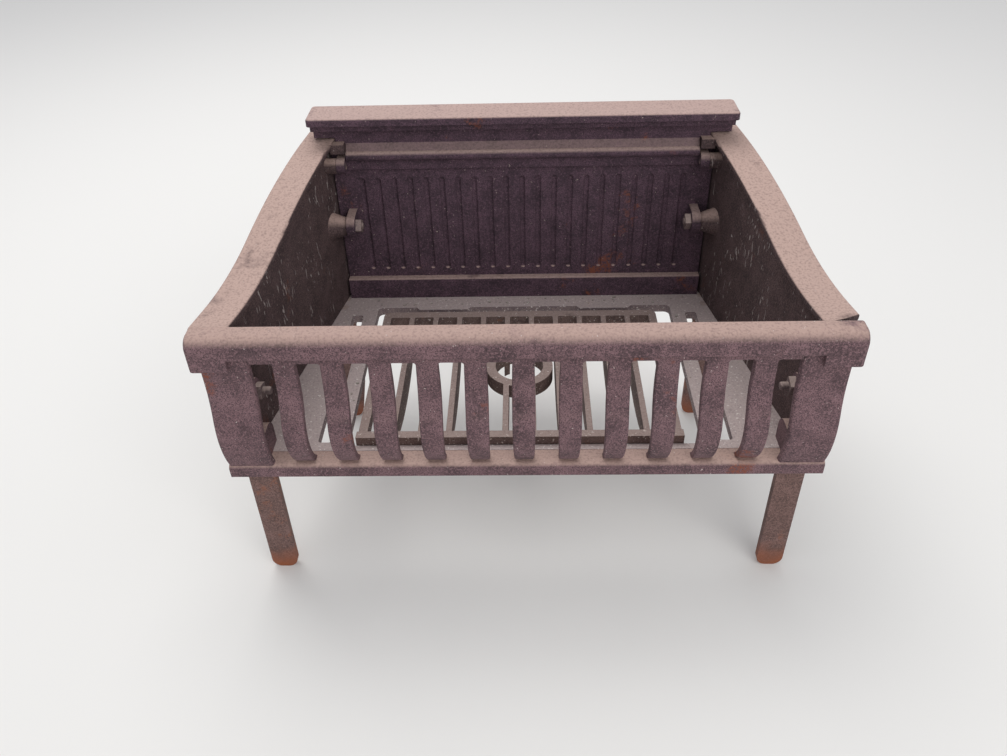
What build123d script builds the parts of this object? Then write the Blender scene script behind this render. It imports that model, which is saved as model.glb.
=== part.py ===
"""A cast-iron fireplace basket with a bowed front grille, sloping cheeks and a fluted back.

Millimetres, +Z up. The origin is on the floor, under the middle of the basket.
The grille faces -Y, and the fluted back plate stands on the +Y side.
"""

from math import cos, radians, sin, tan
import os

from build123d import *

os.makedirs("parts", exist_ok=True)

# Overall sizes
overall_width = 609.0  # across the ends of the top rail
overall_depth = 350.0  # from the bow of the bars to the back of the cap
cap_top_z = 405.0
hearth_z = 163.0  # top of the base plate
iron_wall = 9.0  # usual thickness of the castings
fit_gap = 0.3  # clearance where one casting is let into another

# Bars of the front grille
bar_count = 11
bar_head_width = 20.0
bar_waist_width = 21.5
bar_foot_width = 18.0
bar_edge_round = 1.5
bar_bow = 12.0  # how far the bars bow out past the rail
bar_bow_z = 208.0
bar_bulge_radius = 60.0
bar_neck_turn = 22.0  # degrees the bar turns in from its foremost point to its neck
bar_foot_turn = 49.5  # degrees the bar curls in from its foremost point to its foot
gap_top_round = 3.0

# Panels at the ends of the grille
panel_width = 46.0
panel_edge_round = 3.0
panel_bow = 7.5
panel_bow_z = 204.0
panel_bulge_radius = 98.0
panel_neck_turn = 13.8
panel_foot_turn = 25.5

# Bottom rail of the grille
rail_setback = 7.5  # from the end of the top rail to the end of the bottom rail
rail_lip_height = 15.3
rail_lip_depth = 9.0
rail_round = 5.0
rail_under_round = 1.5
rail_seam = 22.0  # from the rail's front edge to the seam with the base plate

# Top rail of the grille, its fillet strip and its corner blocks
top_rail_z = 321.0
rail_height = 24.0
nose_radius = 13.0
nose_under_round = 3.5
nose_overhang = 6.0  # how far the nose stands out past the bottom rail's edge
top_rail_back = 16.5
rail_end_round = 4.0
strip_height = 7.0
block_width = 36.0
block_drop = 11.0  # how far a corner block hangs below the top rail

# Cheeks, measured from the rail's front edge and along their own sloping plane
splay = 10.41  # degrees each cheek opens towards the front
cheek_setback = 22.8  # from the end of the top rail to the cheek's inner face
cheek_wall = 8.0
cheek_inset = 17.5
rim_width = 36.5
rim_lip = 9.5  # how far the rim stands in past the cheek's inner face
rim_wall = 7.0
rim_round = 2.2
rim_rear_z = 373.5
rim_turn_z = 336.5
rim_front_z = 319.0
rim_fall = 175.0  # length of the upper curve of the rim
rim_level = 45.0
rim_slope = 0.08  # rise of the rim at its rear end
rim_end_inset = 26.0  # where the rounding of the right rim starts
rim_end_sweep = 14.0  # how far the right rim is rounded back at its outer edge
locating_block = 11.0

# Back plate and its mouldings, as distances in front of the plate's face
plate_wall = 10.0
head_margin = 15.7  # how far the head of the plate runs out over the rims
cap_margin = 2.5  # how far the cap runs out past the head
cap_reach = 25.4
cap_back = 18.0
cap_wall = 8.6
cap_round = 2.5
step_reach = 17.0
step_height = 8.4
frieze_reach = 4.0
bevel_top_z = 369.0
moulding_reach = 9.0
moulding_gap = 1.5  # from the ends of the bead to the upper lugs
bead_z = 355.5
bead_radius = 5.5
band_top_z = 350.0
band_bottom_z = 337.0
band_reach = 5.0
kick_top_z = 190.5
kick_reach = 9.0
kick_round = 2.5

# Flutes of the back plate
flute_count = 21
flute_margin = 10.0  # from the last flute to the middle lugs
flute_radius = 3.4
flute_depth = 2.4
flute_bottom_z = 204.0
flute_top_z = 321.0

# Base plate
base_wall = 10.0
base_margin = 2.0  # how far it shows outside the cheeks
seam_gap = 0.4
opening_setback = 38.3  # from the edge of the back plate to the opening
opening_front = 30.0
opening_back = 33.0  # from the face of the back plate to the opening
opening_round = 7.0
stop_width = 68.0
stop_reach = 5.0
stop_slant = 4.0
slot_setback = 14.5
slot_width = 13.5
slot_front = 35.0
slot_back = 49.5
slot_round = 3.0
shelf_wall = 8.0
shelf_width = 60.0
shelf_front_reach = 13.0
shelf_rear_reach = 25.0
shelf_root = 7.0  # how far a shelf runs under the plate

# Loose fire grate
grate_shift = -5.0  # it lies a little to the left in its opening
grate_slots = 11
grate_clearance = 36.0  # total spare width, shared between slot walls and side gaps
grate_slot_width = 23.0
grate_slot_round = 2.0
grate_side_bar = 9.5
grate_front = 31.0
grate_back = 15.0  # from the rear of the opening to the grate
grate_front_bar = 10.0
grate_rear_bar = 12.0
grate_wall = 13.0
grate_belly = 20.0  # how far the bars swell below the frame at mid-length
grate_seat = 15.0  # flat length at each end of a bar, where it lies on a shelf
grate_front_lip = 6.5
grate_corner_round = 9.0
ring_outer_radius = 38.0
ring_inner_radius = 27.0
ring_wall = 17.0

# Legs of flat bar
leg_width = 28.0
leg_wall = 8.0
leg_foot_round = 11.0
leg_bend = 4.0
palm_length = 50.0
palm_round = 5.0
front_leg_setback = 27.5
front_leg = 9.4  # distances back from the rail's front edge
rear_leg_setout = 5.2
rear_leg_back = 68.0
lean_height = 54.0  # the rear left leg is bent outwards below this height
lean_angle = 9.0

# Rivets of the legs
rivet_radius = 3.2
rivet_sink_radius = 4.8
rivet_sink_depth = 1.8
rivet_head_radius = 6.5
rivet_head_height = 3.5
rivet_first = 19.6  # distances from the outer face of the leg
rivet_second = 39.0

# Corner bolts, with square heads and square nuts
bolt_radius = 4.0
bolt_gap = 0.2
front_bolt_tail = 8.0  # how far a bolt stands out of its nut
middle_bolt_tail = 1.5
bolt_end_round = 0.8
nut_size = 14.0
nut_height = 7.0
head_height = 6.0
square_edge = 0.8
ear_wall = 8.0
lug_wall = 10.0
boss_stand = 3.0  # how far a boss stands out of the cheek's outer face
front_joint = (32.0, 235.0)  # distance back from the rail's front edge, and height
middle_joint_back = 20.0
middle_joint_z = 272.0
upper_joint_back = 12.0
upper_joint_z = 345.0
front_joint_radius = 13.0
middle_joint_radius = 13.0
middle_boss_radius = 10.0
boss_flare = 20.0  # degrees the middle bosses widen towards the cheeks
upper_joint_radius = 9.0
front_ear_inset = 11.0
middle_lug_setback = 21.8
upper_lug_setback = 17.8
toe_lug_inset = 6.0
toe_lug_root = 1.7
toe_lug_reach = 40.0
toe_lug_height = 32.0
toe_lug_round = 15.0

# Heights and places that follow from the sizes above
front_y = bar_bow - overall_depth / 2
basket_depth = overall_depth - bar_bow - cap_back  # from the rail's front edge to the back plate
back_face_y = front_y + basket_depth
cheek_length = basket_depth + cap_back
cheek_front_half = overall_width / 2 - cheek_setback
rim_turn = basket_depth - rim_fall
rail_length = overall_width - 2 * rail_setback
panel_outer_x = rail_length / 2
panel_inner_x = panel_outer_x - panel_width
bar_pitch = (2 * panel_inner_x + bar_waist_width + 2 * bar_edge_round) / (bar_count + 1)
front_leg_x = panel_outer_x - front_leg_setback
front_ear_x = panel_inner_x + front_ear_inset
toe_lug_x = panel_inner_x + toe_lug_inset
base_bottom_z = hearth_z - base_wall
rail_bottom_z = top_rail_z - rail_height
nose_z = top_rail_z - rail_height / 2
block_bottom_z = rail_bottom_z - block_drop
strip_bottom_z = rail_bottom_z - strip_height
panel_centre_x = (panel_inner_x + panel_outer_x) / 2
gap_head = bar_pitch - bar_head_width
gap_waist = bar_pitch - bar_waist_width
gap_foot = bar_pitch - bar_foot_width
along = 1 / cos(radians(splay))  # length along a cheek for each unit of distance back
back_half = cheek_front_half - (basket_depth + plate_wall) * tan(radians(splay)) - fit_gap
head_half = back_half + head_margin
cap_half = head_half + cap_margin
middle_lug_x = back_half - middle_lug_setback
upper_lug_x = back_half - upper_lug_setback
moulding_half = upper_lug_x - moulding_gap
flute_pitch = 2 * (middle_lug_x - flute_margin) / (flute_count - 1)
opening_half = back_half - opening_setback
opening_rear = basket_depth - opening_back
stop_centre = opening_half * 11 / 20
slot_centre = back_half - slot_setback
slot_rear = basket_depth - slot_back
grate_rear = opening_rear - grate_back
grate_pitch = 2 * (opening_half - grate_clearance) / (grate_slots - 1)
rear_leg_x = back_half + rear_leg_setout
rear_leg = cheek_length - rear_leg_back
middle_joint = (basket_depth - middle_joint_back, middle_joint_z)
upper_joint = (basket_depth - upper_joint_back, upper_joint_z)
rim_inner_half = cheek_front_half - basket_depth * tan(radians(splay)) - rim_lip * along
head_bottom_z = rim_rear_z + cap_back * rim_slope + 2 * fit_gap
step_top_z = cap_top_z - cap_wall
step_bottom_z = step_top_z - step_height
grate_top_z = base_bottom_z + grate_wall
grate_half = (grate_slots - 1) * grate_pitch / 2 + grate_slot_width / 2 + grate_side_bar
grate_length = grate_rear - grate_front
ring_y = front_y + basket_depth / 2
palm_bottom_z = base_bottom_z - leg_wall
cheek_plane = Plane(
    origin=(cheek_front_half, front_y, 0),
    x_dir=(-sin(radians(splay)), cos(radians(splay)), 0),
    z_dir=(cos(radians(splay)), sin(radians(splay)), 0),
)


def cheek_x(distance, offset=0.0):
    """Half the width to a face of the cheeks, at a distance back from the rail's front edge."""
    return cheek_front_half - distance * tan(radians(splay)) + offset * along


def draw_ogee(bow, bow_z, bulge_radius, neck_turn, foot_turn):
    """Draw the S-shaped side profile that the bars and the end panels share."""
    neck_radius = bow / (1 - cos(radians(neck_turn))) - bulge_radius
    thickness = Vector(iron_wall, 0)
    for shift in (0, iron_wall):
        foot = JernArc((front_y - bow + shift, bow_z), (0, -1), bulge_radius, foot_turn)
        chest = JernArc(foot @ 0, (0, 1), bulge_radius, -neck_turn)
        neck = JernArc(chest @ 1, chest % 1, neck_radius, neck_turn)
        shank = Line(neck @ 1, (front_y + shift, nose_z))
    Line((foot @ 1) - thickness, foot @ 1)
    Line((shank @ 1) - thickness, shank @ 1)


def draw_rim(drop):
    """Draw the long S-curve along the top of a cheek, lowered by a drop."""
    crest = (basket_depth * along, rim_rear_z - drop)
    rear_run = cap_back * along + rim_lip
    upper = TangentArc(crest, (rim_turn * along, rim_turn_z - drop), tangent=(-1, -rim_slope))
    lower = TangentArc(upper @ 1, (rim_level * along, rim_front_z - drop), tangent=upper % 1)
    level = Line(lower @ 1, (0, rim_front_z - drop))
    rear = Line(upper @ 0, (upper @ 0) + Vector(rear_run, rear_run * rim_slope))
    return level @ 1, rear @ 1


def draw_lug(joint, radius, root):
    """Draw a round-nosed lug about a corner bolt, running to the distance of its root."""
    with Locations((front_y + joint[0], joint[1])):
        Circle(radius)
    with Locations((front_y + (joint[0] + root) / 2, joint[1])):
        Rectangle(abs(root - joint[0]), 2 * radius)


# A rivet as set: countersunk flush above the base plate, domed below the palm of the leg
with BuildPart() as rivet:
    with BuildSketch(Plane.XZ):
        with BuildLine():
            Polyline(
                (0, palm_bottom_z - rivet_head_height),
                (0, hearth_z),
                (rivet_sink_radius, hearth_z),
                (rivet_radius, hearth_z - rivet_sink_depth),
                (rivet_radius, palm_bottom_z),
                (rivet_head_radius, palm_bottom_z),
            )
            TangentArc(
                (0, palm_bottom_z - rivet_head_height), (rivet_head_radius, palm_bottom_z), tangent=(1, 0)
            )
        make_face()
    revolve(axis=Axis.Z)

# Square nut, with its hole along X
with BuildPart() as nut:
    with BuildSketch(Plane.YZ):
        Rectangle(nut_size, nut_size)
        Circle(bolt_radius, mode=Mode.SUBTRACT)
    extrude(amount=nut_height)
    chamfer(nut.edges().filter_by(Axis.X), square_edge)

# Curtain of bars, cut out of one bowed sheet
with BuildPart() as curtain:
    with BuildSketch(Plane.YZ):
        with BuildLine():
            draw_ogee(bar_bow, bar_bow_z, bar_bulge_radius, bar_neck_turn, bar_foot_turn)
        make_face()
    extrude(amount=panel_inner_x, both=True)
    with BuildSketch(Plane.XZ, mode=Mode.PRIVATE) as gap:
        with BuildLine():
            for side in (-1, 1):
                ThreePointArc(
                    (side * gap_foot / 2, base_bottom_z),
                    (side * gap_waist / 2, bar_bow_z),
                    (side * gap_head / 2, strip_bottom_z),
                )
            Line((-gap_foot / 2, base_bottom_z), (gap_foot / 2, base_bottom_z))
            Line((-gap_head / 2, strip_bottom_z), (gap_head / 2, strip_bottom_z))
        make_face()
        fillet(gap.vertices().group_by(Axis.Y)[-1], gap_top_round)
    with BuildSketch(Plane.XZ):
        with GridLocations(bar_pitch, 0, bar_count + 1, 1):
            add(gap.sketch_local)
    extrude(amount=overall_depth, both=True, mode=Mode.SUBTRACT)
    fillet(
        curtain.edges().filter_by(Axis.X, reverse=True).filter_by(Axis.Y, reverse=True)
        .filter_by(lambda edge: abs(edge.center().X) < panel_inner_x - bar_foot_width),
        radius=bar_edge_round,
    )

# Top rail with its rounded nose
with BuildPart() as top_rail:
    with Locations((0, front_y - nose_overhang, rail_bottom_z)):
        Box(
            overall_width, top_rail_back + nose_overhang, rail_height,
            align=(Align.CENTER, Align.MIN, Align.MIN),
        )
    nose_edges = top_rail.edges().filter_by(Axis.X).group_by(Axis.Y)[0].sort_by(Axis.Z)
    fillet(nose_edges[-1], nose_radius)
    fillet(nose_edges[0], nose_under_round)
    for end in (0, -1):
        rim = top_rail.faces().filter_by(Axis.X).sort_by(Axis.X)[end].edges().sort_by(Axis.Y)[0:-1]
        fillet(rim, rail_end_round)

# One end panel of the grille, at the middle
with BuildPart() as panel:
    with BuildSketch(Plane.YZ):
        with BuildLine():
            draw_ogee(
                panel_bow, panel_bow_z, panel_bulge_radius, panel_neck_turn, panel_foot_turn
            )
        make_face()
    extrude(amount=panel_width / 2, both=True)
    fillet(
        panel.edges().filter_by(Axis.X, reverse=True).filter_by(Axis.Y, reverse=True)
        .filter_by(lambda edge: edge.length > iron_wall), panel_edge_round,
    )

# Front casting: bottom rail, bars, end panels and top rail in one piece
with BuildPart() as front_casting:
    with BuildSketch(Plane.YZ):
        with Locations((front_y, hearth_z)):
            Rectangle(rail_lip_depth, rail_lip_height, align=(Align.MIN, Align.MAX))
            Rectangle(rail_seam, base_wall, align=(Align.MIN, Align.MAX))
    extrude(amount=rail_length / 2, both=True)
    front_edges = front_casting.edges().filter_by(Axis.X).group_by(Axis.Y)[0].sort_by(Axis.Z)
    fillet(front_edges[-1], rail_round)
    fillet(front_edges[0], rail_under_round)
    add(curtain.part)
    add(top_rail.part)
    for side in (-1, 1):
        with Locations((side * panel_centre_x, 0, 0)):
            add(panel.part)
        with BuildSketch(Plane.XY.offset(block_bottom_z)) as block:
            with Locations((side * (overall_width - block_width) / 2, front_y - nose_overhang)):
                Rectangle(
                    block_width, top_rail_back + nose_overhang, align=(Align.CENTER, Align.MIN)
                )
            fillet(
                block.vertices().group_by(Axis.Y)[0].sort_by(Axis.X)[0 if side < 0 else -1],
                rail_end_round,
            )
        extrude(amount=nose_z - block_bottom_z)
        with BuildSketch(Plane.YZ.offset(side * (front_ear_x + ear_wall / 2))):
            draw_lug(front_joint, front_joint_radius, 0)
        extrude(amount=ear_wall / 2, both=True)
        with BuildSketch(Plane.YZ.offset(side * (toe_lug_x + ear_wall / 2))) as toe:
            with Locations((front_y + toe_lug_root, hearth_z)):
                Rectangle(
                    toe_lug_reach - toe_lug_root, toe_lug_height, align=(Align.MIN, Align.MIN)
                )
            fillet(toe.vertices().group_by(Axis.X)[-1].sort_by(Axis.Y)[-1], toe_lug_round)
        extrude(amount=ear_wall / 2, both=True)
    with BuildSketch(Plane.YZ):
        with Locations((front_y + front_joint[0], front_joint[1])):
            Circle(bolt_radius + bolt_gap)
    extrude(amount=panel_outer_x, both=True, mode=Mode.SUBTRACT)

# Cheek with its S-curved rim, bolt bosses and locating block, drawn for the right-hand side
with BuildPart() as cheek:
    with BuildSketch(cheek_plane.offset(-rim_lip)):
        with BuildLine():
            top_ends = draw_rim(0)
            bottom_ends = draw_rim(rim_wall)
            Line(top_ends[0], bottom_ends[0])
            Line(top_ends[1], bottom_ends[1])
        make_face()
    extrude(amount=rim_width)
    rim_edges = cheek.faces().filter_by(cheek_plane).edges().filter_by(Axis.Z, reverse=True)
    fillet(rim_edges, rim_round)
    with BuildSketch(cheek_plane):
        with BuildLine():
            web_ends = draw_rim(rim_wall / 2)
            Line(web_ends[0], (web_ends[0].X, hearth_z))
            Line(web_ends[1], (web_ends[1].X, hearth_z))
            Line((web_ends[0].X, hearth_z), (web_ends[1].X, hearth_z))
        make_face()
        with Locations((0, 0)):
            Rectangle(cheek_inset, cap_top_z, align=(Align.MIN, Align.MIN), mode=Mode.SUBTRACT)
    extrude(amount=cheek_wall)
    for joint, radius, start_x, flare in (
        (front_joint, front_joint_radius, front_ear_x + ear_wall + fit_gap, 0),
        (middle_joint, middle_boss_radius, middle_lug_x + lug_wall + fit_gap, boss_flare),
        (upper_joint, upper_joint_radius, upper_lug_x + lug_wall + fit_gap, 0),
    ):
        with BuildSketch(Plane.YZ.offset(start_x)):
            with Locations((front_y + joint[0], joint[1])):
                Circle(radius)
        extrude(amount=cheek_x(joint[0], cheek_wall / 2) - start_x, taper=-flare)
        with BuildSketch(Plane.YZ.offset(cheek_x(joint[0], cheek_wall / 2))):
            with Locations((front_y + joint[0], joint[1])):
                Circle(front_joint_radius)
        extrude(amount=cheek_x(joint[0], cheek_wall / 2) + boss_stand - cheek_x(joint[0]))
        with BuildSketch(Plane.YZ):
            with Locations((front_y + joint[0], joint[1])):
                Circle(bolt_radius + bolt_gap)
        extrude(amount=overall_width, mode=Mode.SUBTRACT)
    with Locations((
        rim_inner_half + rim_lip / 2,
        back_face_y - frieze_reach - fit_gap,
        rim_rear_z - rim_round,
    )):
        Box(locating_block + rim_lip / 2, locating_block, locating_block, align=Align.MAX)
    with Locations((0, back_face_y - fit_gap, 0)):
        Box(
            2 * (back_half + fit_gap), overall_depth, 2 * cap_top_z,
            align=(Align.CENTER, Align.MIN, Align.CENTER), mode=Mode.SUBTRACT,
        )
    with Locations((0, front_y + cheek_length, 0)):
        Box(
            2 * overall_width, overall_depth, 2 * cap_top_z,
            align=(Align.CENTER, Align.MIN, Align.CENTER), mode=Mode.SUBTRACT,
        )
    with Locations((overall_width / 2, 0, 0)):
        Box(
            overall_width, 2 * overall_depth, 2 * cap_top_z,
            align=(Align.MIN, Align.CENTER, Align.CENTER), mode=Mode.SUBTRACT,
        )

# Left cheek: its rim is cut off square behind the top rail
with BuildPart() as left_cheek:
    add(cheek.part)
    with Locations((0, front_y + top_rail_back + fit_gap, 0)):
        Box(
            2 * overall_width, overall_depth, 2 * cap_top_z,
            align=(Align.CENTER, Align.MAX, Align.CENTER), mode=Mode.SUBTRACT,
        )
    mirror(about=Plane.YZ, mode=Mode.REPLACE)

# Right cheek: the front end of its rim is rounded off in a sweep
with BuildPart() as right_cheek:
    add(cheek.part)
    with Locations((0, front_y + top_rail_back + fit_gap, 0)):
        Box(
            2 * overall_width, overall_depth, 2 * cap_top_z,
            align=(Align.CENTER, Align.MAX, Align.CENTER), mode=Mode.SUBTRACT,
        )
    with BuildSketch(Plane.XY.offset(rim_front_z)):
        with BuildLine():
            sweep = TangentArc(
                (cheek_front_half - rim_end_inset, front_y + top_rail_back + fit_gap),
                (overall_width / 2 + fit_gap, front_y + top_rail_back + rim_end_sweep),
                tangent=(1, 0),
            )
            corner = Line(sweep @ 1, (overall_width / 2 + fit_gap, front_y))
            front = Line(corner @ 1, (cheek_front_half - rim_end_inset, front_y))
            Line(front @ 1, sweep @ 0)
        make_face()
    extrude(amount=rim_wall + rim_round, both=True, mode=Mode.SUBTRACT)

# Back plate with its cap, mouldings and flutes
with BuildPart() as back_plate:
    with BuildSketch(Plane.YZ):
        with Locations((back_face_y, hearth_z)):
            Rectangle(plate_wall, step_top_z - hearth_z, align=(Align.MIN, Align.MIN))
        with Locations((back_face_y, hearth_z)):
            Rectangle(kick_reach, kick_top_z - hearth_z, align=(Align.MAX, Align.MIN))
    extrude(amount=back_half, both=True)
    with BuildSketch(Plane.YZ):
        with Locations((back_face_y, band_bottom_z)):
            Rectangle(band_reach, band_top_z - band_bottom_z, align=(Align.MAX, Align.MIN))
    extrude(amount=upper_lug_x + lug_wall, both=True)
    ledge = back_plate.faces().filter_by(Axis.Z).filter_by(
        lambda face: abs(face.center().Z - kick_top_z) < fit_gap
    )
    fillet(ledge.edges().filter_by(Axis.X).sort_by(Axis.Y)[0], kick_round)
    with BuildSketch(Plane.YZ):
        with BuildLine():
            Polyline(
                (back_face_y, head_bottom_z),
                (back_face_y - frieze_reach, head_bottom_z),
                (back_face_y - frieze_reach, bevel_top_z),
                (back_face_y - moulding_reach, bead_z + bead_radius),
                (back_face_y - moulding_reach, bead_z),
                (back_face_y, bead_z),
                (back_face_y, head_bottom_z),
            )
        make_face()
        with Locations((back_face_y - moulding_reach, bead_z)):
            Circle(bead_radius)
        with Locations((back_face_y, bead_z)):
            Rectangle(moulding_reach, 2 * bead_radius, align=(Align.MAX, Align.CENTER))
    extrude(amount=moulding_half, both=True)
    with BuildSketch(Plane.YZ):
        with Locations((back_face_y, bevel_top_z)):
            Rectangle(frieze_reach, step_top_z - bevel_top_z, align=(Align.MAX, Align.MIN))
    extrude(amount=rim_inner_half - fit_gap, both=True)
    with BuildSketch(Plane.YZ):
        with Locations((back_face_y + plate_wall, head_bottom_z)):
            Rectangle(
                plate_wall + frieze_reach, step_top_z - head_bottom_z, align=(Align.MAX, Align.MIN)
            )
        with Locations((back_face_y + plate_wall, step_bottom_z)):
            Rectangle(plate_wall + step_reach, step_height, align=(Align.MAX, Align.MIN))
    extrude(amount=head_half, both=True)
    with Locations((0, back_face_y + cap_back, cap_top_z)):
        Box(
            2 * cap_half, cap_back + cap_reach, cap_wall,
            align=(Align.CENTER, Align.MAX, Align.MAX),
        )
    fillet(back_plate.edges().filter_by(Axis.Z).filter_by(
        lambda edge: edge.center().Z > step_top_z
    ), 2 * cap_round)
    fillet(back_plate.faces().sort_by(Axis.Z)[-1].edges(), cap_round)
    for joint, radius, lug_x in (
        (middle_joint, middle_joint_radius, middle_lug_x),
        (upper_joint, upper_joint_radius, upper_lug_x),
    ):
        for side in (-1, 1):
            with BuildSketch(Plane.YZ.offset(side * (lug_x + lug_wall / 2))):
                draw_lug(joint, radius, basket_depth + plate_wall / 2)
            extrude(amount=lug_wall / 2, both=True)
            with BuildSketch(Plane.YZ.offset(side * (lug_x + lug_wall / 2))):
                with Locations((front_y + joint[0], joint[1])):
                    Circle(bolt_radius + bolt_gap)
            extrude(amount=lug_wall, both=True, mode=Mode.SUBTRACT)
    with GridLocations(flute_pitch, 0, flute_count, 1):
        with Locations((0, back_face_y - flute_radius + flute_depth, flute_bottom_z)):
            Cylinder(
                flute_radius, flute_top_z - flute_bottom_z,
                align=(Align.CENTER, Align.CENTER, Align.MIN), mode=Mode.SUBTRACT,
            )
            Sphere(flute_radius, mode=Mode.SUBTRACT)
        with Locations((0, back_face_y - flute_radius + flute_depth, flute_top_z)):
            Sphere(flute_radius, mode=Mode.SUBTRACT)

# Places of the leg rivets, front pair first
front_rivets = [
    (side * front_leg_x, front_y + front_leg + step, 0)
    for side in (-1, 1) for step in (rivet_first, rivet_second)
]
rear_rivets = [
    (side * rear_leg_x, front_y + rear_leg + step, 0)
    for side in (-1, 1) for step in (rivet_first, rivet_second)
]

# Base plate with the grate opening, its stops and shelves, and the two side slots
with BuildPart() as base_plate:
    with BuildSketch(Plane.XY.offset(base_bottom_z)):
        with BuildLine():
            plate_front = rail_seam + seam_gap
            front_half = cheek_x(plate_front, cheek_wall) + base_margin
            rear_half = cheek_x(cheek_length, cheek_wall) + base_margin
            Polyline(
                (-front_half, front_y + plate_front),
                (front_half, front_y + plate_front),
                (rear_half, front_y + cheek_length),
                (-rear_half, front_y + cheek_length),
                close=True,
            )
        make_face()
        with Locations((0, front_y + (opening_front + opening_rear) / 2)):
            RectangleRounded(
                2 * opening_half, opening_rear - opening_front, opening_round, mode=Mode.SUBTRACT
            )
        with Locations(
            (-slot_centre, front_y + (slot_front + slot_rear) / 2),
            (slot_centre, front_y + (slot_front + slot_rear) / 2),
        ):
            RectangleRounded(slot_width, slot_rear - slot_front, slot_round, mode=Mode.SUBTRACT)
        for side in (-1, 1):
            with BuildLine():
                Polyline(
                    (side * stop_centre - stop_width / 2, front_y + opening_rear),
                    (side * stop_centre - stop_width / 2 + stop_slant, front_y + opening_rear - stop_reach),
                    (side * stop_centre + stop_width / 2 - stop_slant, front_y + opening_rear - stop_reach),
                    (side * stop_centre + stop_width / 2, front_y + opening_rear),
                    close=True,
                )
            make_face()
    extrude(amount=base_wall)
    with BuildSketch(Plane.XY.offset(base_bottom_z)):
        with Locations(
            (-stop_centre, front_y + opening_front - shelf_root),
            (stop_centre, front_y + opening_front - shelf_root),
        ):
            Rectangle(
                shelf_width, shelf_root + shelf_front_reach, align=(Align.CENTER, Align.MIN)
            )
        with Locations(
            (-stop_centre, front_y + opening_rear + shelf_root),
            (stop_centre, front_y + opening_rear + shelf_root),
        ):
            Rectangle(
                shelf_width, shelf_root + shelf_rear_reach, align=(Align.CENTER, Align.MAX)
            )
    extrude(amount=-shelf_wall)
    with Locations(*front_rivets, *rear_rivets):
        add(rivet.part, mode=Mode.SUBTRACT)

# Fire grate with fish-bellied bars and a ring in the middle
with BuildPart() as fire_grate:
    with BuildSketch(Plane.XY.offset(base_bottom_z)) as grate_plan:
        with Locations((grate_shift, front_y + grate_front)):
            Rectangle(2 * grate_half, grate_length, align=(Align.CENTER, Align.MIN))
        fillet(grate_plan.vertices().group_by(Axis.Y)[-1], grate_corner_round)
        slot_length = grate_length - grate_front_bar - grate_rear_bar
        slot_y = front_y + grate_front + grate_front_bar + slot_length / 2
        with Locations((grate_shift, slot_y)):
            with GridLocations(grate_pitch, 0, grate_slots, 1):
                RectangleRounded(
                    grate_slot_width, slot_length, grate_slot_round, mode=Mode.SUBTRACT
                )
        with Locations((grate_shift, ring_y)):
            Circle(ring_outer_radius)
    extrude(amount=grate_wall)
    for number in range(1, grate_slots):
        bar_x = grate_shift + (number - grate_slots / 2) * grate_pitch
        with BuildSketch(Plane.YZ.offset(bar_x)):
            with BuildLine():
                swell = ThreePointArc(
                    (front_y + grate_front + grate_seat, base_bottom_z),
                    (front_y + grate_front + grate_length / 2, base_bottom_z - grate_belly),
                    (front_y + grate_rear - grate_seat, base_bottom_z),
                )
                front_end = Line(swell @ 0, (swell @ 0) + Vector(0, grate_wall / 2))
                rear_end = Line(swell @ 1, (swell @ 1) + Vector(0, grate_wall / 2))
                Line(front_end @ 1, rear_end @ 1)
            make_face()
        extrude(amount=(grate_pitch - grate_slot_width) / 2, both=True)
    with Locations((grate_shift, ring_y, grate_top_z)):
        Cylinder(ring_outer_radius, ring_wall, align=(Align.CENTER, Align.CENTER, Align.MAX))
        Cylinder(
            ring_inner_radius, 2 * (grate_wall + grate_belly),
            align=(Align.CENTER, Align.CENTER, Align.CENTER), mode=Mode.SUBTRACT,
        )
    with Locations((grate_shift, front_y + grate_front, base_bottom_z)):
        Box(
            2 * grate_half, grate_front_bar, grate_wall + grate_front_lip,
            align=(Align.CENTER, Align.MIN, Align.MIN),
        )

# Legs: flat bar bent at the top into a palm under the base plate
legs = {}
for name, leg_x, leg_back, lean in (
    ("front_left_leg", -front_leg_x, front_leg, 0),
    ("front_right_leg", front_leg_x, front_leg, 0),
    ("rear_left_leg", -rear_leg_x, rear_leg, -lean_angle),
    ("rear_right_leg", rear_leg_x, rear_leg, 0),
):
    leg_y = front_y + leg_back
    foot_x = leg_x + lean_height * tan(radians(lean))
    with BuildPart() as leg:
        with BuildSketch(Plane.YZ.offset(leg_x)) as bent_bar:
            with Locations((leg_y, 0)):
                Rectangle(leg_wall, base_bottom_z, align=(Align.MIN, Align.MIN))
            with Locations((leg_y, base_bottom_z)):
                Rectangle(palm_length, leg_wall, align=(Align.MIN, Align.MAX))
            fillet(bent_bar.vertices().group_by(Axis.X)[0].sort_by(Axis.Y)[-1], leg_bend + leg_wall / 2)
        extrude(amount=leg_width, both=True)
        with BuildSketch(Plane.XZ.offset(-overall_depth / 2)) as front_view:
            with BuildLine():
                Polyline(
                    (leg_x - leg_width / 2, base_bottom_z),
                    (leg_x - leg_width / 2, lean_height),
                    (foot_x - leg_width / 2, 0),
                    (foot_x + leg_width / 2, 0),
                    (leg_x + leg_width / 2, lean_height),
                    (leg_x + leg_width / 2, base_bottom_z),
                    close=True,
                )
            make_face()
            fillet(front_view.vertices().group_by(Axis.Y)[0], leg_foot_round)
        extrude(amount=overall_depth, mode=Mode.INTERSECT)
        fillet(leg.edges().filter_by(Axis.Z).group_by(Axis.Y)[-1], palm_round)
        with Locations(*front_rivets, *rear_rivets):
            add(rivet.part, mode=Mode.SUBTRACT)
    legs[name] = leg

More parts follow.
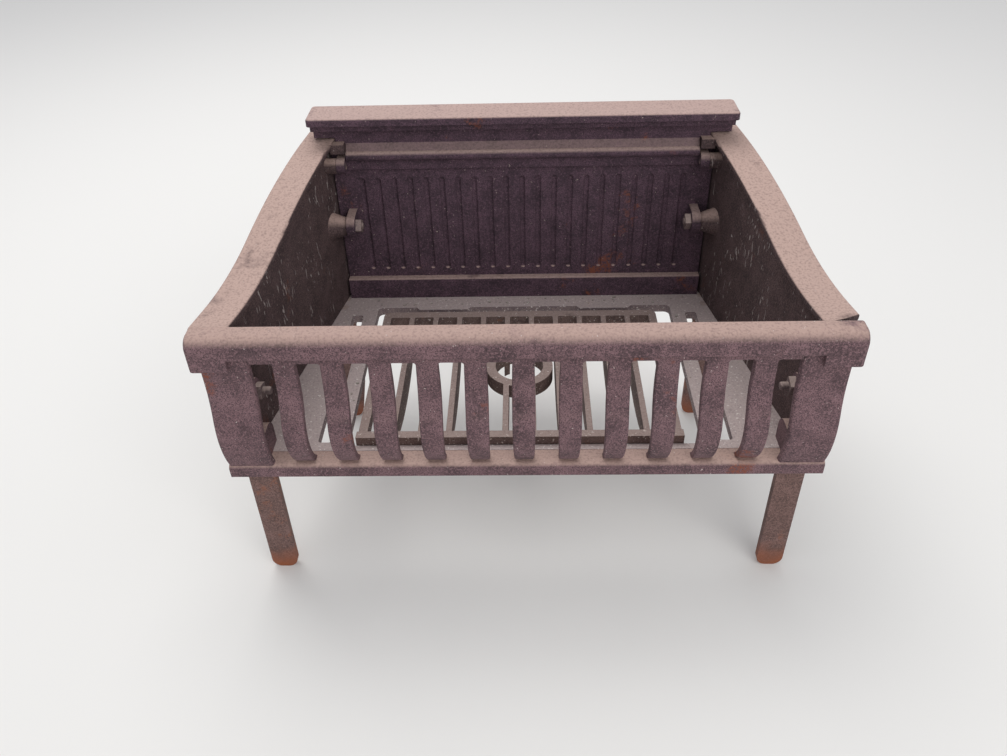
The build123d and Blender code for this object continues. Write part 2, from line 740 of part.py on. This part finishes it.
# Rivets, two to each leg
rivets = {}
for name, places in (
    ("front_left_rivets", front_rivets[:2]),
    ("front_right_rivets", front_rivets[2:]),
    ("rear_left_rivets", rear_rivets[:2]),
    ("rear_right_rivets", rear_rivets[2:]),
):
    with BuildPart() as rivet_pair:
        with Locations(*places):
            add(rivet.part)
    rivets[name] = rivet_pair

# Corner bolts and their nuts
fasteners = {}
for place, joint, lug_x, tail, nut_turn in (
    ("front", front_joint, front_ear_x, front_bolt_tail, 18),
    ("middle", middle_joint, middle_lug_x, middle_bolt_tail, 32),
    ("upper", upper_joint, upper_lug_x, 0, None),
):
    joint_y = front_y + joint[0]
    head_x = cheek_x(joint[0], cheek_wall) + boss_stand
    bolt_end_x = lug_x + fit_gap
    if nut_turn is not None:
        bolt_end_x = lug_x - nut_height - tail
    for hand, side in (("left", -1), ("right", 1)):
        with BuildPart() as bolt:
            with BuildSketch(Plane.YZ.offset(side * bolt_end_x)):
                with Locations((joint_y, joint[1])):
                    Circle(bolt_radius)
            extrude(amount=side * (head_x - bolt_end_x))
            chamfer(bolt.faces().sort_by(Axis.X)[0 if side > 0 else -1].edges(), bolt_end_round)
            with BuildSketch(Plane.YZ.offset(side * head_x)) as bolt_head:
                with Locations((joint_y, joint[1])):
                    Rectangle(nut_size, nut_size, rotation=nut_turn or 0)
                chamfer(bolt_head.vertices(), square_edge)
            extrude(amount=side * head_height)
        fasteners[f"{place}_{hand}_bolt"] = bolt
        if nut_turn is not None:
            with BuildPart() as square_nut:
                with Locations(Location(
                    (side * lug_x - (side + 1) / 2 * nut_height, joint_y, joint[1]), (nut_turn * side, 0, 0)
                )):
                    add(nut.part)
            fasteners[f"{place}_{hand}_nut"] = square_nut

# Write one file for every piece
pieces = {
    "front_casting": front_casting,
    "left_cheek": left_cheek,
    "right_cheek": right_cheek,
    "back_plate": back_plate,
    "base_plate": base_plate,
    "fire_grate": fire_grate,
    **legs,
    **rivets,
    **fasteners,
}
for name, piece in pieces.items():
    piece.part.label = name
    export_step(piece.part, f"parts/{name}.step")
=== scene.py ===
# %% [markdown]
# # An old cast-iron fire basket
#
# The basket is a set of iron castings bolted together: a front grille of bowed bars, two
# sloping cheeks, a fluted back plate, a base plate and a loose grate that carries the fire.
# Every casting comes from the CAD model, so this lesson is mostly about old iron: sand-cast
# grain, ash and dust on what faces up, rust where the wet got in. At the end come the few
# things that are too small or too loose for a CAD model, and then the light and the camera.

# %% Load the frame
import math
import random

import bmesh
import bpy
from mathutils import Matrix, Vector


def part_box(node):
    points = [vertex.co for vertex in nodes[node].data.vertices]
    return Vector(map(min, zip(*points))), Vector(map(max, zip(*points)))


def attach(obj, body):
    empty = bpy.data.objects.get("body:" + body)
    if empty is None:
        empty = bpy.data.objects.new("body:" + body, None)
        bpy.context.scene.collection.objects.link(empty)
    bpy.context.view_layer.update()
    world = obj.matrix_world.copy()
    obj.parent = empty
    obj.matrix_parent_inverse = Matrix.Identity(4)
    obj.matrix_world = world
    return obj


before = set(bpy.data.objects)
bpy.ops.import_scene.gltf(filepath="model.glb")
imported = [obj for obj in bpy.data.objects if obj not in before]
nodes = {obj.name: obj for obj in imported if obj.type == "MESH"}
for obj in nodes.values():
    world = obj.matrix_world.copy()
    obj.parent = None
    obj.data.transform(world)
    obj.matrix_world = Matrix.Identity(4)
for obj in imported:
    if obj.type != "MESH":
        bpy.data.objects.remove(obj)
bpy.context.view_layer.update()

# %% [markdown]
# ## Colours
#
# Colours are written as hex values, which are sRGB numbers. Shaders work in linear light, so
# one function turns every hex value to linear before it reaches a socket.

# %% Turn a hex colour to linear light
def linear(hex_colour):
    channels = []
    for start in (0, 2, 4):
        value = int(hex_colour[start:start + 2], 16) / 255
        if value <= 0.04045:
            channels.append(value / 12.92)
        else:
            channels.append(((value + 0.055) / 1.055) ** 2.4)
    return (*channels, 1.0)


print("mid grey in linear light:", round(linear("808080")[0], 3))

# %% [markdown]
# ## One helper for shader nodes
#
# Each material below is a small web of nodes. This helper adds one node, applies its
# settings, fills its sockets and returns it. A socket value that is another node's output
# becomes a link, and anything else is written in as a constant. Some sockets share a name, so
# a key such as i6 picks a socket by its number.

# %% Add one shader node
def add_node(tree, kind, settings=None, **sockets):
    node = tree.nodes.new(kind)
    for key, value in (settings or {}).items():
        setattr(node, key, value)
    for key, value in sockets.items():
        name = key.replace("_", " ")
        numbered = name[0] == "i" and name[1:].isdigit()
        socket = node.inputs[int(name[1:]) if numbered else name]
        if isinstance(value, bpy.types.NodeSocket):
            tree.links.new(value, socket)
        else:
            socket.default_value = value
    return node


# %% [markdown]
# ## Old cast iron
#
# Bare iron from a sand mould has a skin of fine grain, about half a millimetre across. Years
# of fires leave it purple-brown and quite dull: the surface is iron oxide rather than metal,
# so it is mixed as a rough non-metal with the usual IOR of 1.5. Over the base tone lie rust
# where it stayed damp, a pale layer on everything that faces up, which is partly dust and
# partly painted top light, and scattered specks. All patterns read Object coordinates, which
# are in metres here, so a noise scale is one over the size wanted in metres.

# %% Sizes of the patterns in the iron
MM = 0.001
GRAIN_MM = 1.1  # drawn coarser than the real half millimetre, so that it shows
PIT_MM = 2.4
MOTTLE_MM = 22.0
PATCH_MM = 60.0
SPECK_MM = 2.6
THREAD_MARK_MM = 5.0
IRON_OXIDE_IOR = 1.5


def scale_for(size_mm):
    return 1 / (size_mm * MM)


print("grain noise scale:", round(scale_for(GRAIN_MM)))

# %% [markdown]
# Four small functions do the arithmetic of every layer: a noise of a given size, a mask that
# rises smoothly between two values, the product of two masks, and one colour over another.

# %% Noise, masks and blends
def noise(tree, point, size_mm, detail, **more):
    node = add_node(
        tree, "ShaderNodeTexNoise", Vector=point, Scale=scale_for(size_mm), Detail=detail, **more,
    )
    return node.outputs["Fac"]


def rising(tree, value, low, high, top=1.0):
    node = add_node(
        tree, "ShaderNodeMapRange", {"interpolation_type": "SMOOTHSTEP"},
        Value=value, From_Min=low, From_Max=high, To_Min=0.0, To_Max=top,
    )
    return node.outputs["Result"]


def times(tree, first, second):
    node = add_node(tree, "ShaderNodeMath", {"operation": "MULTIPLY"}, i0=first, i1=second)
    return node.outputs[0]


def blend(tree, share, under, over):
    node = add_node(tree, "ShaderNodeMix", {"data_type": "RGBA"}, i0=share, i6=under, i7=over)
    return node.outputs[2]


print("masks run from 0 to 1")

# %% [markdown]
# The base is two tones of oxide. Mottling mixes them broadly, the pit pattern lightens it in
# spots, and the grain sets fine dark spots among them.

# %% Base tone
def make_patterns(tree, point):
    return {
        "grain": noise(tree, point, GRAIN_MM, 3.0),
        "pits": noise(tree, point, PIT_MM, 4.0),
        "mottle": noise(tree, point, MOTTLE_MM, 5.0),
        "patch": noise(tree, point, PATCH_MM, 6.0, Roughness=0.65),
        "fleck": noise(tree, point, SPECK_MM, 3.0),
    }


def base_tone(tree, patterns, deep, light):
    tone = blend(tree, rising(tree, patterns["mottle"], 0.05, 0.95), deep, light)
    tone = blend(tree, rising(tree, patterns["pits"], 0.46, 0.62, 0.7), tone, light)
    return blend(tree, rising(tree, patterns["grain"], 0.47, 0.62, 0.8), tone, deep)


print("base tone ready")

# %% [markdown]
# Rust comes in patches some centimetres wide, and the pit pattern eats into their edges. Specks of ash
# are small and sharp, so their mask rises within a very short range.

# %% Rust and specks
RUST_EDGE = 0.08
SPECK_EDGE = 0.03
SPECK_SHARE = 0.85


def add_rust(tree, patterns, tone, rust, rust_from):
    patches = rising(tree, patterns["patch"], rust_from, rust_from + RUST_EDGE)
    damp = times(tree, patches, rising(tree, patterns["pits"], 0.38, 0.56))
    return blend(tree, damp, tone, rust)


def add_specks(tree, patterns, tone, speck, speck_from):
    specks = rising(tree, patterns["fleck"], speck_from, speck_from + SPECK_EDGE, SPECK_SHARE)
    return blend(tree, specks, tone, speck)


print("rust and specks ready")

# %% [markdown]
# The cheeks carry light scratches and threads of web. They are a noise drawn out along the
# height. Place times normal is below zero only where a cheek faces the fire, so the marks
# stay inside.

# %% Threads on the inner faces
THREAD_TURN = (0.5, 0.3, 0.2)  # radians, so that the threads don't hang dead straight
THREAD_STRETCH = (1.0, 1.0, 0.22)
INNER_FACE_EDGE = 0.02


def add_threads(tree, patterns, place, tone, speck, share):
    point = place.outputs["Object"]
    drawn = add_node(
        tree, "ShaderNodeMapping", Vector=point, Rotation=THREAD_TURN, Scale=THREAD_STRETCH,
    )
    thread = noise(tree, drawn.outputs["Vector"], THREAD_MARK_MM, 2.0, Distortion=1.4)
    patches = rising(tree, patterns["patch"], 0.46, 0.54, share)
    marks = times(tree, rising(tree, thread, 0.645, 0.665), patches)
    spot = add_node(tree, "ShaderNodeSeparateXYZ", Vector=point)
    aim = add_node(tree, "ShaderNodeSeparateXYZ", Vector=place.outputs["Normal"])
    outward = times(tree, spot.outputs["X"], aim.outputs["X"])
    marks = times(tree, marks, rising(tree, outward, INNER_FACE_EDGE, -INNER_FACE_EDGE))
    return blend(tree, marks, tone, speck)


print("threads ready")

# %% [markdown]
# The pale layer on upward faces is partly dust and partly painted top light: it lightens the
# tops the way light from above does. Its mask comes from the surface's own normal. It starts
# on faces that lean back a little from upright and is full on those that are nearly level,
# and noise breaks it up.

# %% Dust and painted top light on what faces up
DUST_AND_TOP_LIGHT_SHARE = 0.9
DUST_AND_TOP_LIGHT_STARTS = 0.25  # upward part of the normal, which is 0 on a wall and 1 on a level top
DUST_AND_TOP_LIGHT_IS_FULL = 0.92


def add_dust_and_top_light(tree, patterns, place, tone, dust_and_top_light):
    facing = add_node(tree, "ShaderNodeSeparateXYZ", Vector=place.outputs["Normal"])
    # upward faces take the pale colour: dust, and painted light on the tops
    level = rising(tree, facing.outputs["Z"], DUST_AND_TOP_LIGHT_STARTS, DUST_AND_TOP_LIGHT_IS_FULL, DUST_AND_TOP_LIGHT_SHARE)
    dust_and_light_breakup = add_node(
        tree, "ShaderNodeMapRange", Value=patterns["pits"], From_Min=0.30, From_Max=0.52,
        To_Min=0.62, To_Max=1.0,
    ).outputs["Result"]
    dust_and_light_breakup = times(tree, dust_and_light_breakup, rising(tree, patterns["patch"], 0.22, 0.42))
    return blend(tree, times(tree, level, dust_and_light_breakup), tone, dust_and_top_light)


print("dust ready")

# %% [markdown]
# The legs stand in the damp, so red-brown rust climbs them from the floor. Its upper edge is
# made ragged by taking some of the mottling off the height.

# %% Rust at the feet
FOOT_RUST = "8A4E30"


def add_foot_rust(tree, patterns, point, tone, reach_mm):
    reach = reach_mm * MM
    height = add_node(tree, "ShaderNodeSeparateXYZ", Vector=point)
    ragged = add_node(
        tree, "ShaderNodeMath", {"operation": "MULTIPLY_ADD"},
        i0=patterns["mottle"], i1=-2 * reach, i2=height.outputs["Z"],
    )
    low = add_node(
        tree, "ShaderNodeMapRange", Value=ragged.outputs[0], From_Min=reach * 0.6,
        From_Max=-reach, To_Min=0.0, To_Max=1.0,
    )
    return blend(tree, low.outputs["Result"], tone, linear(FOOT_RUST))


print("foot rust ready")

# %% [markdown]
# Relief comes last. Real castings have worn corners, so the bevel node rounds the corner
# that light sees by under a millimetre. Two bumps follow: the pits, and the finer grain.

# %% Worn corners and cast skin
WORN_CORNER_MM = 0.9
PIT_DEPTH_MM = 1.2
GRAIN_DEPTH_MM = 0.5


def cast_skin(tree, patterns):
    rounded = add_node(tree, "ShaderNodeBevel", {"samples": 4}, Radius=WORN_CORNER_MM * MM)
    relief = add_node(
        tree, "ShaderNodeBump", Strength=0.6, Distance=PIT_DEPTH_MM * MM,
        Height=patterns["pits"], Normal=rounded.outputs["Normal"],
    )
    skin = add_node(
        tree, "ShaderNodeBump", Strength=0.5, Distance=GRAIN_DEPTH_MM * MM,
        Height=patterns["grain"], Normal=relief.outputs["Normal"],
    )
    return skin.outputs["Normal"]


print("skin ready")

# %% [markdown]
# The finishes differ only in tone, and in how much rust and speckle they carry, so one
# function builds them all from the layers above.

# %% Build a cast-iron finish
def old_iron(
    name, deep, light, dust_and_top_light, rust, speck,
    rust_from, speck_from, streaks=0.0, foot_rust=0.0, roughness=0.82,
):
    material = bpy.data.materials.new(name)
    material.use_nodes = True
    tree = material.node_tree
    tree.nodes.clear()
    place = add_node(tree, "ShaderNodeTexCoord")
    point = place.outputs["Object"]
    patterns = make_patterns(tree, point)

    tone = base_tone(tree, patterns, linear(deep), linear(light))
    tone = add_rust(tree, patterns, tone, linear(rust), rust_from)
    if streaks:
        tone = add_threads(tree, patterns, place, tone, linear(speck), streaks)
    # pale layer on upward faces: dust and painted top light
    tone = add_dust_and_top_light(tree, patterns, place, tone, linear(dust_and_top_light))
    tone = add_specks(tree, patterns, tone, linear(speck), speck_from)
    if foot_rust:
        tone = add_foot_rust(tree, patterns, point, tone, foot_rust)

    surface = add_node(
        tree, "ShaderNodeBsdfPrincipled", Base_Color=tone, Metallic=0.0, Roughness=roughness,
        IOR=IRON_OXIDE_IOR, Normal=cast_skin(tree, patterns),
    )
    add_node(tree, "ShaderNodeOutputMaterial", Surface=surface.outputs["BSDF"])
    print("made", name)
    return material


# %% [markdown]
# ## The finishes on this basket
#
# The outside of the grille is a plum-brown with pinkish tops, partly dust and partly painted
# top light. The inside has been smoked and is darker, with light scratches on the cheeks.
# The base plate and the grate are covered in pale ash. The legs are rusty bar, redder at the ends.

# %% Mix the finishes
grille_iron = old_iron(
    "dusty grille iron", deep="35262A", light="86676B",
    dust_and_top_light="B2968A", rust="7A4434", speck="CDBFB8",
    rust_from=0.62, speck_from=0.71,
)
back_iron = old_iron(
    "dusty back plate iron", deep="291C24", light="634956",
    dust_and_top_light="B59A90", rust="74402F", speck="B5A49A",
    rust_from=0.61, speck_from=0.71,
)
cheek_iron = old_iron(
    "smoked cheek iron", deep="2E2021", light="65504E",
    dust_and_top_light="B89C90", rust="683C2C", speck="B5AAA4",
    rust_from=0.62, speck_from=0.73, streaks=0.8,
)
hearth_iron = old_iron(
    "ash-covered base iron", deep="65565A", light="9A8884",
    dust_and_top_light="BFAEA9", rust="9E6038", speck="E2DAD4",
    rust_from=0.63, speck_from=0.64,
)
grate_iron = old_iron(
    "ash-covered grate iron", deep="4C3C3A", light="7E675F",
    dust_and_top_light="A08C84", rust="8E5430", speck="CEC0B6",
    rust_from=0.62, speck_from=0.65,
)
leg_iron = old_iron(
    "rusty leg bar", deep="48352F", light="846660",
    dust_and_top_light="98807A", rust="8A5238", speck="A08B80",
    rust_from=0.56, speck_from=0.72, foot_rust=22.0,
)
fastener_iron = old_iron(
    "rusty bolt iron", deep="594A4A", light="8A7672",
    dust_and_top_light="B5A096", rust="82502F", speck="AD9F98",
    rust_from=0.58, speck_from=0.74, roughness=0.7,
)

# %% [markdown]
# Every casting and fastener of the frame now gets one of these finishes. The names of the
# pieces say which: legs are bar, the big castings are listed, and the rest are fasteners.

# %% Give every casting its finish
finishes = {
    "front_casting": grille_iron,
    "left_cheek": cheek_iron,
    "right_cheek": cheek_iron,
    "back_plate": back_iron,
    "base_plate": hearth_iron,
    "fire_grate": grate_iron,
}
for name, casting in nodes.items():
    finish = finishes.get(name, fastener_iron)
    if name.endswith("_leg"):
        finish = leg_iron
    casting.data.materials.clear()
    casting.data.materials.append(finish)
print("finished", len(nodes), "castings and fasteners")

# %% [markdown]
# ## Screw thread on the bolt ends
#
# The two front corner bolts stick out past their nuts. The CAD bolts are plain rods, so each
# gets a few shallow V-shaped ribs. A real thread is one helix, but at this size separate
# rings look the same. Each rib's section is spun round the bolt's axis, and the ribs are
# closed by merging the first and last rows.

# %% Make the threaded ends
BOLT_RADIUS_MM = 4.0
THREAD_PITCH_MM = 1.25
THREAD_HEIGHT_MM = 0.35
RIB_HALF_WIDTH = 0.42  # as a share of the pitch, so that neighbours don't touch
FIRST_RIB = 0.6  # pitches past the face of the nut
RIB_ROOT_MM = 0.05  # how far a rib's edges are sunk into the rod
RIB_CORE_MM = 0.4  # how far its inner corner is sunk
TURN_STEPS = 24


def make_piece(name, mesh_builder, material, body):
    mesh = bpy.data.meshes.new(name)
    mesh_builder.to_mesh(mesh)
    mesh_builder.free()
    piece = bpy.data.objects.new(name, mesh)
    bpy.context.scene.collection.objects.link(piece)
    mesh.materials.append(material)
    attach(piece, body)
    return piece


def threaded_end(name, bolt_name, nut_name):
    low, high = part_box(bolt_name)
    nut_low, nut_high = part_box(nut_name)
    centre = (nut_low + nut_high) / 2
    inward = -1 if centre.x > 0 else 1
    tip = low.x if inward < 0 else high.x
    face = nut_low.x if inward < 0 else nut_high.x
    radius = BOLT_RADIUS_MM * MM
    ribs = int(abs(tip - face) / (THREAD_PITCH_MM * MM)) - 1
    builder = bmesh.new()
    for rib in range(ribs):
        start = face + inward * (rib + FIRST_RIB) * THREAD_PITCH_MM * MM
        half = THREAD_PITCH_MM * MM * RIB_HALF_WIDTH
        points = [
            (start - half, radius - RIB_ROOT_MM * MM),
            (start, radius + THREAD_HEIGHT_MM * MM),
            (start + half, radius - RIB_ROOT_MM * MM),
            (start, radius - RIB_CORE_MM * MM),
        ]
        ring = [builder.verts.new((x, centre.y + r, centre.z)) for x, r in points]
        edges = [builder.edges.new((ring[i], ring[(i + 1) % 4])) for i in range(4)]
        bmesh.ops.spin(
            builder, geom=ring + edges, cent=centre, axis=(1, 0, 0), angle=math.tau,
            steps=TURN_STEPS, use_merge=True,
        )
    bmesh.ops.recalc_face_normals(builder, faces=builder.faces)
    return make_piece(name, builder, fastener_iron, "basket")


for corner in ("front_left", "front_right"):
    thread = threaded_end(f"{corner}_thread", f"{corner}_bolt", f"{corner}_nut")
    print(thread.name, "has", len(thread.data.polygons), "faces")

# %% [markdown]
# ## Ash crumbs on the base plate
#
# Clinker and flakes of rust have gathered on the base plate, behind the opening and along
# its sides. Each crumb is a small icosphere, squashed and turned at random from a fixed
# seed, and sunk a little so that it lies on the iron instead of balancing on a point.

# %% Scatter the crumbs
CRUMB_COUNT = 90
CRUMB_SMALLEST = 0.5 * MM
CRUMB_LARGEST = 1.9 * MM
CRUMB_SPREAD = (0.7, 1.3)  # how far a crumb is squashed or stretched along the plate
CRUMB_HEIGHT = (0.35, 0.7)
CRUMB_LIFT = 0.2  # the share of its radius that its middle lies above the plate
REAR_HALF = 205 * MM  # half the width of the strip behind the opening
hearth_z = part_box("back_plate")[0].z  # the back plate stands on the base plate
grate_low, grate_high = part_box("fire_grate")
side_strip = (185 * MM, 198 * MM)  # between the opening and the side slot
rear_strip = (grate_high.y + 20 * MM, grate_high.y + 36 * MM)  # behind the opening

dice = random.Random(7)
crumbs = bmesh.new()
for number in range(CRUMB_COUNT):
    radius = dice.uniform(CRUMB_SMALLEST, CRUMB_LARGEST)
    if number % 3:
        spot = Vector((dice.uniform(-REAR_HALF, REAR_HALF), dice.uniform(*rear_strip), hearth_z))
    else:
        side = dice.choice((-1, 1))
        across = side * dice.uniform(*side_strip)
        spot = Vector((across, dice.uniform(grate_low.y, grate_high.y), hearth_z))
    shape = (dice.uniform(*CRUMB_SPREAD), dice.uniform(*CRUMB_SPREAD), dice.uniform(*CRUMB_HEIGHT))
    turn = Matrix.Rotation(dice.uniform(0, math.tau), 4, "Z")
    lift = Matrix.Translation(spot + Vector((0, 0, radius * CRUMB_LIFT)))
    bmesh.ops.create_icosphere(
        crumbs, subdivisions=1, radius=radius, matrix=lift @ turn @ Matrix.Diagonal((*shape, 1.0)),
    )
ash = old_iron(
    "clinker and ash", deep="5B534C", light="8C8378",
    dust_and_top_light="B7AEA2", rust="8B552F", speck="D8D2CA",
    rust_from=0.55, speck_from=0.66,
)
ash_crumbs = make_piece("ash_crumbs", crumbs, ash, "basket")
print("crumbs have", len(ash_crumbs.data.polygons), "faces")

# %% [markdown]
# ## The room: floor, light and camera
#
# The floor is one pale plane, so wide that its far edge is never near the basket.

# %% Lay the floor
FLOOR_SIZE = 120.0  # metres
floor_builder = bmesh.new()
bmesh.ops.create_grid(floor_builder, x_segments=1, y_segments=1, size=FLOOR_SIZE / 2)
floor_mesh = bpy.data.meshes.new("floor")
floor_builder.to_mesh(floor_mesh)
floor_builder.free()
floor = bpy.data.objects.new("floor", floor_mesh)
bpy.context.scene.collection.objects.link(floor)
floor_paint = bpy.data.materials.new("pale floor")
floor_paint.use_nodes = True
floor_surface = floor_paint.node_tree.nodes["Principled BSDF"]
floor_surface.inputs["Base Color"].default_value = linear("E3E1DC")
floor_surface.inputs["Roughness"].default_value = 0.9
floor_mesh.materials.append(floor_paint)
print("floor laid")

# %% [markdown]
# The light is a soft studio set of two square area lamps. One hangs above and a little
# behind the basket and picks out the dusty tops, and one of nearly the same power stands in
# front. Big lamps give shadows soft edges. The nearly white world fills in the rest.

# %% Set the lamps
def soft_lamp(name, place, target, size, power):
    lamp = bpy.data.lights.new(name, "AREA")
    lamp.shape = "SQUARE"
    lamp.size = size
    lamp.energy = power
    holder = bpy.data.objects.new(name, lamp)
    holder.location = place
    holder.rotation_euler = (Vector(target) - Vector(place)).to_track_quat("-Z", "Y").to_euler()
    bpy.context.scene.collection.objects.link(holder)


basket_middle = (0.0, 0.0, 0.2)
soft_lamp("overhead", place=(-0.5, 0.9, 2.2), target=basket_middle, size=1.8, power=30.0)
soft_lamp("front fill", place=(1.2, -2.2, 1.6), target=basket_middle, size=2.0, power=28.0)
world = bpy.data.worlds.new("studio")
world.use_nodes = True
sky = world.node_tree.nodes["Background"]
sky.inputs["Color"].default_value = linear("EFF1F8")
sky.inputs["Strength"].default_value = 0.75
bpy.context.scene.world = world
print("lamps set")

# %% [markdown]
# The camera stands in front of the basket and looks well down into it. Its place, its three
# angles and its focal length were fitted to corners of the castings that can be measured in
# the picture. The lens has no shift.

# %% Place the camera
CAMERA_PLACE = Vector((0.0020, -0.7828, 0.7551))
PITCH_DOWN = 0.6612
YAW = -0.0327
ROLL = 0.0292
PICTURE_WIDTH_PX = 1007
FOCAL_PX = 857.3
SENSOR_MM = 36.0

level = math.cos(PITCH_DOWN)
ahead = Vector((math.sin(YAW) * level, math.cos(YAW) * level, -math.sin(PITCH_DOWN)))
level_right = Vector((math.cos(YAW), -math.sin(YAW), 0.0))
level_down = ahead.cross(level_right)
right = level_right * math.cos(ROLL) + level_down * math.sin(ROLL)
up = level_right * math.sin(ROLL) - level_down * math.cos(ROLL)
camera_data = bpy.data.cameras.new("camera")
camera_data.sensor_width = SENSOR_MM
camera_data.lens = FOCAL_PX / PICTURE_WIDTH_PX * SENSOR_MM
camera = bpy.data.objects.new("camera", camera_data)
turned = Matrix((right, up, -ahead)).transposed().to_4x4()
camera.matrix_world = Matrix.Translation(CAMERA_PLACE) @ turned
bpy.context.scene.collection.objects.link(camera)
bpy.context.scene.camera = camera
print("lens", round(camera_data.lens, 2), "mm")

# %% [markdown]
# The Standard view shows the colours as they were mixed, with no film curve over them.

# %% Keep plain colours
bpy.context.scene.view_settings.view_transform = "Standard"
